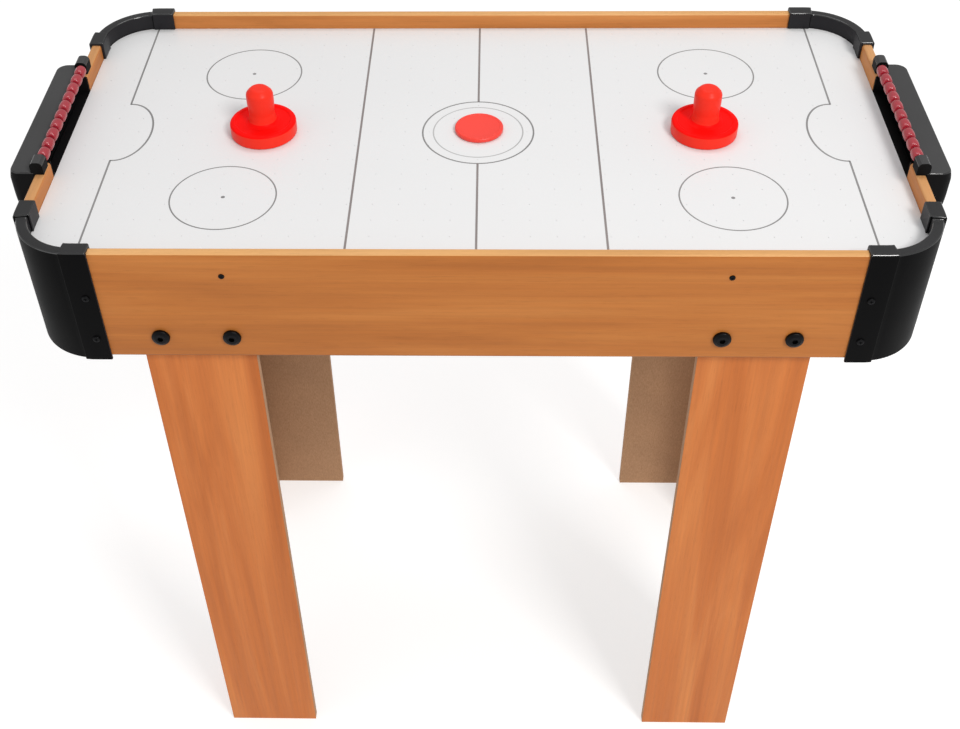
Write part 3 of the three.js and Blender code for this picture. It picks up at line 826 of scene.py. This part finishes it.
black, brown = [], []
for _, sx in SIDES:
    line_x = sx * GOAL_LINE
    for _, sy in EDGES:
        crease = [(line_x, sy * CREASE_Y), (sx * (GOAL_LINE - 17), sy * (CREASE_Y + 1)),
                  (sx * CREASE_X, sy * 28), (sx * CREASE_X, 0)]
        black.append(ribbon(bezier(crease, 20), LINE_WIDTH))
        straight = [(line_x, sy * (CREASE_Y - 0.5)), (line_x, sy * LINE_END)]
        black.append(ribbon(straight, LINE_WIDTH))
        spot = (sx * FACEOFF_X, sy * FACEOFF_Y)
        black.append(ribbon(circle(FACEOFF_RADIUS, 96, spot), FACEOFF_WIDTH, True))
        black.append(drawn(circle(SPOT_RADIUS, 24, spot), *INK_SPAN))
    brown.append(ribbon([(sx * ZONE_LINE, -LINE_END), (sx * ZONE_LINE, LINE_END)], BROWN_WIDTH))
for _, sy in EDGES:
    brown.append(ribbon([(0, sy * (CENTRE_RADIUS + 0.5)), (0, sy * LINE_END)], BROWN_WIDTH))
black.append(ribbon(circle(CENTRE_RADIUS, 112), CENTRE_WIDTH, True))
ring = ribbon(circle(RING_RADIUS, 96), RING_WIDTH, True)
piece("field_lines_dark", together(black), line_ink, crease=30)
piece("field_lines_brown", together(brown), zone_ink, crease=30)
piece("field_line_inner_ring", ring, faint_ink, crease=30)

# ---- goal boxes

low, high = span("right_goal_box")
GOAL_NEAR, GOAL_FAR, GOAL_HALF = END_OUT + GAP, high.x, high.y
GOAL_TOP, GOAL_LOW = TOP + 2.5, low.z
GOAL_WALL, GOAL_CORNER, GOAL_SOFT = 2.5, 10, 1.6
SILL, SILL_LOW = TOP - 16.4, TOP - 19.7
MOUTH_HALF, MOUTH_LINER = 76.7, 2.5
EAR_INNER, EAR_RISE, EAR_ROUND = 82.0, 13, 4.5
ROD_X, ROD_Z = END_OUT - BOARD / 2, TOP + 7
ROD_HOLE, ROD_HALF = 1.8, 92.3
WINDOW_HALF, WINDOW_LOW, WINDOW_TOP, WINDOW_ROUND = 58, TOP - 31, TOP - 9, 4
RIM_OUT, RIM_THICK, RIM_WIDE = 1.2, 0.9, 1.1


def goal_side(inset):
    """How far a goal box reaches outward at each height, from bottom to top."""
    far, bottom, top = GOAL_FAR - inset, GOAL_LOW + inset, GOAL_TOP - inset
    belly = [(far - 12, bottom), (far - 1, bottom), (far, bottom + 14), (far, bottom + 28)]
    brow = [(far, bottom + 28, 0), (far, top - 9, 14), (far - 2.2, top, 2.2), (far - 12, top, 0)]
    return bezier(belly, 10)[:-1] + rounded(brow, 6, closed=False)


def goal_form(inset, near):
    """A goal box's outer or inner form: plan outlines stacked from bottom to top."""
    corner = GOAL_CORNER - inset
    top = GOAL_TOP - inset
    rings = []
    for far, z in goal_side(inset):
        # The outer form's ends round over into its top.
        climb = max(0.0, GOAL_SOFT - (top - z)) if inset == 0 else 0.0
        pulled = GOAL_SOFT - math.sqrt(max(0.0, GOAL_SOFT ** 2 - climb ** 2))
        half = GOAL_HALF - inset - pulled
        plan = [(near, -half, 0), (far, -half, corner), (far, half, corner), (near, half, 0)]
        rings.append([(x, y, z) for x, y in rounded(plan, 8)])
    return skin(rings)


def ear(side):
    """An ear that stands on the end board and holds one end of the score rod."""
    near, far = END_IN + 0.4, END_OUT + 2.5
    top = TOP + EAR_RISE
    outline = rounded([(near, TOP + GAP, 0), (far, TOP + GAP, 0), (far, top, EAR_ROUND),
                       (near, top, EAR_ROUND)], 7)
    return drawn(outline, *sorted((side * EAR_INNER, side * (GOAL_HALF - 0.2))), "y")


def goal_solid():
    """The right-hand goal box: a hollow catcher, the mouth's lining and the rod's ears."""
    clear = MOUTH_HALF - MOUTH_LINER
    frame_x = (END_IN + GAP, END_OUT + 3.5)
    shell = combined(goal_form(0, GOAL_NEAR), [goal_form(GOAL_WALL, GOAL_NEAR + GOAL_WALL)])
    additions = [
        block(frame_x, (-MOUTH_HALF, MOUTH_HALF), (SILL_LOW, SILL)),
        block(frame_x, (-MOUTH_HALF, -clear), (SILL_LOW, TOP)),
        block(frame_x, (clear, MOUTH_HALF), (SILL_LOW, TOP)),
        ear(-1),
        ear(1),
    ]
    shell = combined(shell, additions, "UNION")
    outline = rectangle(-WINDOW_HALF, WINDOW_HALF, WINDOW_LOW, WINDOW_TOP, WINDOW_ROUND, 6)
    window = drawn(outline, GOAL_FAR - 14, GOAL_FAR + 2, "x")
    mouth = block((GOAL_NEAR - 1, GOAL_NEAR + 4), (-clear, clear), (SILL, GOAL_TOP - GOAL_WALL))
    profile = [(0, -ROD_HALF), (ROD_HOLE, -ROD_HALF), (ROD_HOLE, ROD_HALF), (0, ROD_HALF)]
    rod_hole = turned(profile, "y", (ROD_X, 0, ROD_Z), 20)
    return combined(shell, [window, mouth, rod_hole])


def return_rim():
    """A raised rim round the slot where the puck is taken out."""
    half, bottom, top = WINDOW_HALF + RIM_OUT, WINDOW_LOW - RIM_OUT, WINDOW_TOP + RIM_OUT
    path = rectangle(-half, half, bottom, top, 5, 7)
    rings = []
    for k, (y, z) in enumerate(path):
        centre = Vector((GOAL_FAR - 1.0, y, z))
        along = (Vector(path[(k + 1) % len(path)]) - Vector(path[k - 1])).normalized()
        side = Vector((0, along.y, -along.x)) * RIM_WIDE
        out = Vector((RIM_THICK, 0, 0))
        angles = [TAU * m / 10 for m in range(10)]
        rings.append([tuple(centre + out * math.sin(a) + side * math.cos(a)) for a in angles])
    return skin(rings, True)


for end, sx in SIDES:
    # The top and rounded top edge take the lighter copies of the charcoal: painted light.
    piece(f"{end}_goal_box_moulding", mirrored(goal_solid(), sx), goal_plastic,
          replaces=[f"{end}_goal_box"], crease=32,
          finishes_and_painted_light=[(goal_lit_top, highest_face), (goal_lit_edge, rounded_edge)])
    piece(f"{end}_goal_return_rim", mirrored(return_rim(), sx), goal_plastic,
          crease=60)

# ---- score rods and beads

ROD_RADIUS, ROD_TIP = 1.5, 0.6
BEAD_HOLE, BEAD_RIM = 1.9, 3.9
BEAD_FULLNESS = 0.62  # under 1 makes the barrel squarer

for end, sx in SIDES:
    low, high = span(f"{end}_score_rod")
    x, _, z = middle(f"{end}_score_rod")
    profile = rounded([(0, low.y, 0), (ROD_RADIUS, low.y, ROD_TIP), (ROD_RADIUS, high.y, ROD_TIP),
                       (0, high.y, 0)], 4, closed=False)
    piece(f"{end}_score_rod_bar", turned(profile, "y", (x, 0, z), 32), rod_steel,
          replaces=[f"{end}_score_rod"])
    for i in range(1, 11):
        node = f"{end}_bead_{i:02d}"
        low, high = span(node)
        y = middle(node)[1]
        half, radius = (high.y - low.y) / 2, (high.z - low.z) / 2
        barrel = [(BEAD_RIM + (radius - BEAD_RIM) * math.cos(t) ** BEAD_FULLNESS,
                   half * 0.96 * math.sin(t))
                  for t in (math.pi * (k / 16 - 0.5) * 0.96 for k in range(17))]
        shoulder = BEAD_RIM - 0.3
        profile = [(BEAD_HOLE, -half), (shoulder, -half), *barrel, (shoulder, half),
                   (BEAD_HOLE, half)]
        bead = turned(profile, "y", (x, y, z), 28, looped=True)
        piece(f"{node}_barrel", bead, bead_plastic, node, [node])

# ---- mallets and puck

MALLET_BASE = 13.0  # height of a mallet's wide base
KNOB_RADIUS = 13.2
FELT_INNER = 16

for name in ("left_mallet", "right_mallet"):
    low, high = span(name)
    x, y, _ = middle(name)
    radius, base, tall = (high.x - low.x) / 2, MALLET_BASE, high.z - low.z
    profile = rounded([
        (0, 1.5, 0),
        (radius - 4.6, 1.5, 0.4),
        (radius - 4.2, 0, 0.4),
        (radius - 0.2, 0, 1.0),
        (radius, base, 2.6),
        (radius - 5.0, base + 0.6, 0.8),
        (radius - 6.4, base - 0.6, 0.8),
        (17.5, base - 0.2, 2.0),
        (13.4, base + 1.2, 4.0),
        (12.3, base + 10, 6.0),
        (KNOB_RADIUS, tall - 16, 6.0),
        (KNOB_RADIUS, tall - 5.5, 6.0),
        (8.0, tall, 5.5),
        (0, tall, 0),
    ], 6, closed=False)
    # The top of the base takes the deeper red copy: painted light.
    piece(f"{name}_striker", turned(profile, "z", (x, y, low.z), 96), mallet_plastic,
          name, [name], crease=50, finishes_and_painted_light=[(mallet_painted_top, base_top)])
    felt_outer = radius - 5.2
    profile = rounded([(FELT_INNER, 0.25, 0), (felt_outer, 0.25, 0.3), (felt_outer, 1.45, 0.1),
                       (FELT_INNER, 1.45, 0)], 3)
    pad = turned(profile, "z", (x, y, low.z), 72, looped=True)
    piece(f"{name}_felt_ring", pad, felt, name)

low, high = span("puck")
x, y, _ = middle("puck")
radius, tall = (high.x - low.x) / 2, high.z - low.z
profile = rounded([
    (0, 0.35, 0),
    (radius - 3.6, 0.35, 0.3),
    (radius - 3.0, 0, 0.3),
    (radius - 0.9, 0, 0.5),
    (radius, 0.9, 0.5),
    (radius, tall - 0.9, 0.5),
    (radius - 0.9, tall, 0.5),
    (radius - 3.0, tall, 0.4),
    (radius - 3.6, tall - 0.5, 0.3),
    (0, tall - 0.5, 0),
], 4, closed=False)
piece("puck_disc", turned(profile, "z", (x, y, low.z), 96), puck_plastic,
      "puck", ["puck"], crease=50)

# ---- bottom panel and battens

FAN_HOLE = 38
BATTEN, BATTEN_OFF = 12.0, 0.4  # a batten's width, and its gap from the side board
BATTEN_LOW, BATTEN_HIGH = PANEL_UNDER - GAP - BATTEN, PANEL_UNDER - GAP
LONG_BATTEN_HALF, SHORT_BATTEN_HALF = 196, 140
SCREW_LINE = BATTEN_OFF + BATTEN / 2

low, high = span("bottom_panel")
plan = rectangle(low.x, high.x, low.y, high.y, SHEET_CORNER, 14)
vented = combined(drawn(plan, low.z, high.z), [drawn(circle(FAN_HOLE, 96), low.z - 1, high.z + 1)])
piece("bottom_panel_sheet", vented, panel_board, replaces=["bottom_panel"],
      crease=30)


def across_board(side, inner_face):
    """The span a batten takes up, inward from the inner face of a side board."""
    near = inner_face - BATTEN_OFF
    return sorted((side * near, side * (near - BATTEN)))


for edge, sy in EDGES:
    batten = block((-LONG_BATTEN_HALF, LONG_BATTEN_HALF), across_board(sy, SIDE_IN),
                   (BATTEN_LOW, BATTEN_HIGH))
    piece(f"{edge}_panel_batten", batten, raw_board, bevel=0.6)
for end, sx in SIDES:
    batten = block(across_board(sx, END_IN), (-SHORT_BATTEN_HALF, SHORT_BATTEN_HALF),
                   (BATTEN_LOW, BATTEN_HIGH))
    piece(f"{end}_panel_batten", batten, raw_board, bevel=0.6)
spots = [(sx * x, sy * (SIDE_IN - SCREW_LINE)) for _, sx in SIDES for _, sy in EDGES
         for x in (40, 150)]
spots += [(sx * (END_IN - SCREW_LINE), sy * 100) for _, sx in SIDES for _, sy in EDGES]
heads = [facing(pan_head(*BATTEN_SCREW), (0, 0, -1), (x, y, BATTEN_LOW - SEAT)) for x, y in spots]
piece("batten_screws", together(heads), zinc_steel)

# ---- fan

DRUM_RADIUS, DRUM_WALL, FLANGE_RADIUS, FLANGE_THICK = 42, 2, 48, 2.2
SPOKES = 8
GRILLE_RINGS = ((16, 25.5), (27.5, 37))
FLANGE_SCREWS, FLANGE_SCREW_RADIUS = 6, 45
MOTOR_RADIUS, MOTOR_HEIGHT, SHAFT_RADIUS = 12, 17, 1.5
BLADES, BLADE_STEPS, BLADE_HALF_THICK = 7, 8, 0.7
BLADE_ROOT, BLADE_TIP = 12.6, 35.8
HUB_RADIUS, HUB_HOLE = 14, 1.8

low, high = span("fan_housing")
FAN_LOW, FAN_TOP = low.z, high.z
drum_inner, flange_under = DRUM_RADIUS - DRUM_WALL, FAN_TOP - FLANGE_THICK
profile = rounded([
    (0, FAN_LOW, 0),
    (DRUM_RADIUS, FAN_LOW, 2.5),
    (DRUM_RADIUS, flange_under, 0.8),
    (FLANGE_RADIUS, flange_under, 0.6),
    (FLANGE_RADIUS, FAN_TOP, 0.4),
    (drum_inner, FAN_TOP, 0.4),
    (drum_inner, FAN_LOW + DRUM_WALL, 1.2),
    (0, FAN_LOW + DRUM_WALL, 0),
], closed=False)
slots = []
for inner, outer in GRILLE_RINGS:
    for k in range(SPOKES):
        start, stop = (k + 0.10) * TAU / SPOKES, (k + 0.90) * TAU / SPOKES
        outline = (circle(outer, 10, (0, 0), start, stop)
                   + circle(inner, 10, (0, 0), stop, start))
        slots.append(drawn(outline, FAN_LOW - 2, FAN_LOW + 4))
drum = combined(turned(profile, segments=96), [together(slots)])
piece("fan_housing_drum", drum, fan_plastic, replaces=["fan_housing"], crease=35)
heads = []
for k in range(FLANGE_SCREWS):
    angle = TAU * (k + 0.5) / FLANGE_SCREWS
    head_at = (FLANGE_SCREW_RADIUS * math.cos(angle), FLANGE_SCREW_RADIUS * math.sin(angle),
               flange_under - SEAT)
    heads.append(facing(pan_head(*FLANGE_SCREW), (0, 0, -1), head_at))
piece("fan_flange_screws", together(heads), zinc_steel)

low, high = span("fan_motor")
can_top = low.z + MOTOR_HEIGHT
profile = rounded([
    (0, low.z, 0),
    (MOTOR_RADIUS, low.z, 1.2),
    (MOTOR_RADIUS, can_top, 1.5),
    (4.2, can_top, 0.3),
    (4.2, can_top + 0.7, 0.3),
    (SHAFT_RADIUS, can_top + 0.7, 0),
    (SHAFT_RADIUS, high.z, 0.4),
    (0, high.z, 0),
], closed=False)
piece("fan_motor_can", turned(profile, segments=64), motor_steel,
      replaces=["fan_motor"])


def blade_ring(share, mid_z):
    """A blade's section at a share of its length. It is curved, and flatter towards the tip."""
    reach = BLADE_ROOT + (BLADE_TIP - BLADE_ROOT) * share
    tilt = math.radians(40 - 12 * share)
    chord = 7.0 + 1.0 * math.sin(math.pi * share) - (1.2 if share == 1 else 0)
    ring = []
    for u, v in rectangle(-chord, chord, -BLADE_HALF_THICK, BLADE_HALF_THICK,
                          BLADE_HALF_THICK / 2, 2):
        v += 0.5 * (1 - (u / chord) ** 2)
        ring.append((reach, u * math.cos(tilt) - v * math.sin(tilt),
                     mid_z + u * math.sin(tilt) + v * math.cos(tilt)))
    return ring


low, high = span("fan_impeller")
mid_z = (low.z + high.z) / 2
profile = rounded([(HUB_HOLE, low.z, 0), (HUB_RADIUS, low.z, 0.8), (HUB_RADIUS, high.z, 1.6),
                   (HUB_HOLE, high.z, 0)], 4)
hub = turned(profile, segments=64, looped=True)
blades = []
for k in range(BLADES):
    blade = skin([blade_ring(step / BLADE_STEPS, mid_z) for step in range(BLADE_STEPS + 1)])
    blades.append(moved(blade, turn=k * TAU / BLADES))
piece("fan_impeller_wheel", combined(hub, blades, "UNION"), fan_plastic,
      "fan_impeller", ["fan_impeller"], crease=35)

# ---- battery box and cells

CASE_WALL, CASE_ROUND = 2, 2.5
CELL_RADIUS, CELL_LENGTH, BUTTON_RADIUS, BUTTON_LENGTH = 16.3, 59.0, 4.6, 1.7
CELL_ACROSS, CELL_ALONG, CELL_Z = 17.2, 31.7, 18.2
COVER_THICK, GRIP_IN, GRIP_PITCH, GRIP_WIDTH, GRIP_HALF = 2.4, 22, 2.9, 1.8, 18

low, high = span("battery_box")
outline = rectangle(low.x, high.x, low.y, high.y, CASE_ROUND)
inside = rectangle(low.x + CASE_WALL, high.x - CASE_WALL, low.y + CASE_WALL, high.y - CASE_WALL,
                   1.2, 4)
hollow = drawn(inside, low.z - 1, high.z - CASE_WALL)
case = combined(drawn(outline, low.z, high.z), [hollow])
piece("battery_box_case", case, fan_plastic, replaces=["battery_box"], bevel=0.5)

box_x = (low.x + high.x) / 2
edge_in = CELL_RADIUS - 1.2
cells, buttons = [], []
for sy in (-1, 1):
    for sx in (-1, 1):
        # The two cells of a row point the same way, and the other row points back.
        start = box_x + sy * sx * CELL_ALONG - sy * (CELL_LENGTH + BUTTON_LENGTH) / 2
        place = (start, sy * CELL_ACROSS, low.z + CELL_Z)
        profile = rounded([(0, 0, 0), (edge_in, 0, 0.4), (CELL_RADIUS, 1.2, 0.6),
                           (CELL_RADIUS, CELL_LENGTH - 1.2, 0.6), (edge_in, CELL_LENGTH, 0.4),
                           (0, CELL_LENGTH, 0)], 4, closed=False)
        cells.append(moved(mirrored(turned(profile, "x", segments=56), sy), place))
        foot, tip = CELL_LENGTH + 0.02, CELL_LENGTH + BUTTON_LENGTH
        profile = [(0, foot), (BUTTON_RADIUS, foot), (BUTTON_RADIUS, tip - 0.4),
                   (BUTTON_RADIUS - 0.4, tip), (0, tip)]
        buttons.append(moved(mirrored(turned(profile, "x", segments=32), sy), place))
piece("dry_cells", together(cells), cell_wrap)
piece("dry_cell_buttons", together(buttons), zinc_steel)

low, high = span("battery_cover")
plate = drawn(rectangle(low.x, high.x, low.y, high.y, CASE_ROUND), high.z - COVER_THICK, high.z)
ribs = []
for k in range(3):
    x = high.x - GRIP_IN + k * GRIP_PITCH
    outline = rectangle(x, x + GRIP_WIDTH, -GRIP_HALF, GRIP_HALF, 0.8, 4)
    ribs.append(drawn(outline, low.z, high.z - 1.5))
piece("battery_cover_plate", combined(plate, ribs, "UNION"), fan_plastic,
      "battery_cover", ["battery_cover"], bevel=0.35)

# ---- switch

WELL_HALF_X, WELL_HALF_Y, WELL_DEPTH = 10, 6, 10
ROCKER_HALF, ROCKER_HALF_WIDE = 8.7, 5.5
ROCKER_TILT = math.pi / 15
PIVOT_Z = PANEL_UNDER - GAP - 11

low, high = span("switch_housing")
centre_y = (low.y + high.y) / 2
shell = drawn(rectangle(low.x, high.x, low.y, high.y, 1.5), low.z, high.z)
outline = rectangle(-WELL_HALF_X, WELL_HALF_X, centre_y - WELL_HALF_Y, centre_y + WELL_HALF_Y,
                    0.8, 4)
well = drawn(outline, low.z - 1, low.z + WELL_DEPTH)
piece("switch_housing_shell", combined(shell, [well]), fan_plastic,
      replaces=["switch_housing"], bevel=0.4)

outline = rounded([
    (-ROCKER_HALF, 1.9, 0.5), (-ROCKER_HALF, -3.9, 0.8), (0, -2.3, 9),
    (ROCKER_HALF, -3.9, 0.8), (ROCKER_HALF, 1.9, 0.5)], 6)
rocker = drawn(outline, -ROCKER_HALF_WIDE, ROCKER_HALF_WIDE, "y")
ring_mark = turned(rectangle(1.1, 1.7, -3.45, -3.85), "z", (5.4, 0, 0), 24, looped=True)
bar_mark = block((-6.0, -5.5), (-1.8, 1.8), (-3.9, -3.4))
for part in (rocker, ring_mark, bar_mark):
    moved(part, (0, centre_y, PIVOT_Z), ROCKER_TILT, "Y")
piece("switch_rocker_button", rocker, rocker_plastic, "switch_rocker",
      ["switch_rocker"], bevel=0.3)
piece("switch_rocker_marks", together([ring_mark, bar_mark]), mark_paint,
      "switch_rocker")

# ---- floor and light, in metres

FLOOR_HALF, FLOOR_Z = 30, -0.0003

floor_look = Recipe("floor_pale", Roughness=0.9, Specular_IOR_Level=0.1,
                    Emission_Color=(1, 1, 1, 1), Emission_Strength=0.60)
floor_cloud = floor_look.noise((0.6, 0.6, 0.6))
floor_stops = [(0.3, (0.59, 0.59, 0.59)), (0.7, (0.61, 0.61, 0.61))]
floor_look.feed(Base_Color=floor_look.ramp(floor_cloud, floor_stops))
floor_mesh = bpy.data.meshes.new("floor")
corners = [(-FLOOR_HALF, -FLOOR_HALF), (FLOOR_HALF, -FLOOR_HALF), (FLOOR_HALF, FLOOR_HALF),
           (-FLOOR_HALF, FLOOR_HALF)]
floor_mesh.from_pydata([(x, y, FLOOR_Z) for x, y in corners], [], [(0, 1, 2, 3)])
floor_mesh.materials.append(floor_look.material)
floor = bpy.data.objects.new("floor", floor_mesh)
bpy.context.scene.collection.objects.link(floor)

world = bpy.data.worlds.new("studio")
bpy.context.scene.world = world
world.use_nodes = True
sky = world.node_tree.nodes["Background"]
sky.inputs["Color"].default_value = (1.0, 1.0, 1.0, 1)
sky.inputs["Strength"].default_value = 0.51
bpy.context.scene.view_settings.view_transform = "Standard"


def softbox(name, at, aim, size, power, colour=(1, 1, 1)):
    lamp = bpy.data.lights.new(name, "AREA")
    lamp.shape = "RECTANGLE"
    lamp.size, lamp.size_y = size
    lamp.energy = power
    lamp.color = colour
    obj = bpy.data.objects.new(name, lamp)
    bpy.context.scene.collection.objects.link(obj)
    obj.location = at
    obj.rotation_euler = (Vector(aim) - Vector(at)).to_track_quat("-Z", "Y").to_euler()


softbox("key", (1.3, -1.9, 2.9), (0, 0, 0.5), (0.8, 0.8), 54, (1, 0.99, 0.97))
softbox("top", (0.2, 0.9, 3.2), (0, 0, 0.7), (2.4, 0.7), 17)
softbox("fill", (-2.6, -1.6, 1.7), (0, 0, 0.5), (1.6, 1.6), 5, (0.98, 0.99, 1))
